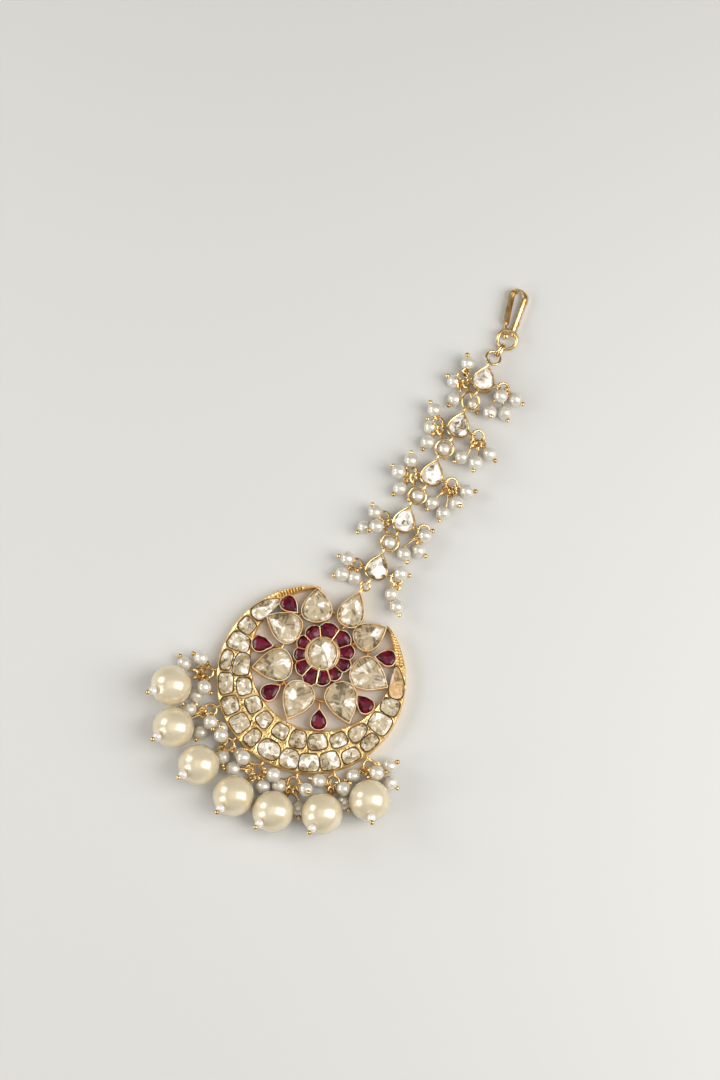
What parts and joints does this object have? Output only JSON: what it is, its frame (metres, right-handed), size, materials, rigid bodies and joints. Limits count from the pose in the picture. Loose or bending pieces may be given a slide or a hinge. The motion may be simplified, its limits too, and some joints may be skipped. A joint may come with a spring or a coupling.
{
  "type": "maang tikka",
  "caption": "Forehead jewel: openwork crescent and flower pendant of gold and flat-cut stones, hung with large pearls, on a pearl-bunched link chain with a spring hook.",
  "frame": {"origin": "under the centre of the flower, on the pendant's flat back", "axes": "+Y up the chain to the hook, +Z out of the face, +X to the right as worn"},
  "size_m": [0.0586, 0.1352, 0.0097],
  "materials": {
    "gold": "soft hand-worked yellow gold, polished on the edges",
    "clear_stone": "foil-backed uncut stone, cream with grey flaws and flat facets",
    "red_stone": "polished deep crimson, rounded top",
    "cream_pearl": "pearly lacquer, warm cream",
    "white_pearl": "pearly lacquer, white with a grey shade"
  },
  "bodies": {
    "root": {"pendant_frame": "gold", "petal_stone_1": "clear_stone", "petal_stone_2": "clear_stone", "petal_stone_3": "clear_stone", "petal_stone_4": "clear_stone", "petal_stone_5": "clear_stone", "petal_stone_6": "clear_stone", "petal_stone_7": "clear_stone", "petal_stone_8": "clear_stone", "centre_stone": "clear_stone", "ruby_ring": "red_stone", "big_pearl_1": "cream_pearl", "drop_pin_1": "gold", "pearl_cluster_1": "white_pearl", "big_pearl_2": "cream_pearl", "drop_pin_2": "gold", "pearl_cluster_2": "white_pearl", "big_pearl_3": "cream_pearl", "drop_pin_3": "gold", "pearl_cluster_3": "white_pearl", "big_pearl_4": "cream_pearl", "drop_pin_4": "gold", "pearl_cluster_4": "white_pearl", "big_pearl_5": "cream_pearl", "drop_pin_5": "gold", "pearl_cluster_5": "white_pearl", "big_pearl_6": "cream_pearl", "drop_pin_6": "gold", "pearl_cluster_6": "white_pearl", "big_pearl_7": "cream_pearl", "drop_pin_7": "gold", "pearl_cluster_7": "white_pearl", "link_1": "gold", "link_stone_1": "clear_stone", "link_2": "gold", "link_stone_2": "clear_stone", "link_3": "gold", "link_stone_3": "clear_stone", "link_4": "gold", "link_stone_4": "clear_stone", "link_5": "gold", "link_stone_5": "clear_stone", "chain_ring_1": "gold", "chain_ring_2": "gold", "chain_ring_3": "gold", "chain_ring_4": "gold", "chain_ring_5": "gold", "chain_ring_6": "gold", "link_cluster_1_left": "white_pearl", "link_cluster_1_right": "white_pearl", "link_cluster_2_left": "white_pearl", "link_cluster_2_right": "white_pearl", "link_cluster_3_left": "white_pearl", "link_cluster_3_right": "white_pearl", "link_cluster_4_left": "white_pearl", "link_cluster_4_right": "white_pearl", "link_cluster_5_left": "white_pearl", "link_cluster_5_right": "white_pearl", "hook_link": "gold", "hook": "gold"}
  },
  "joints": []
}
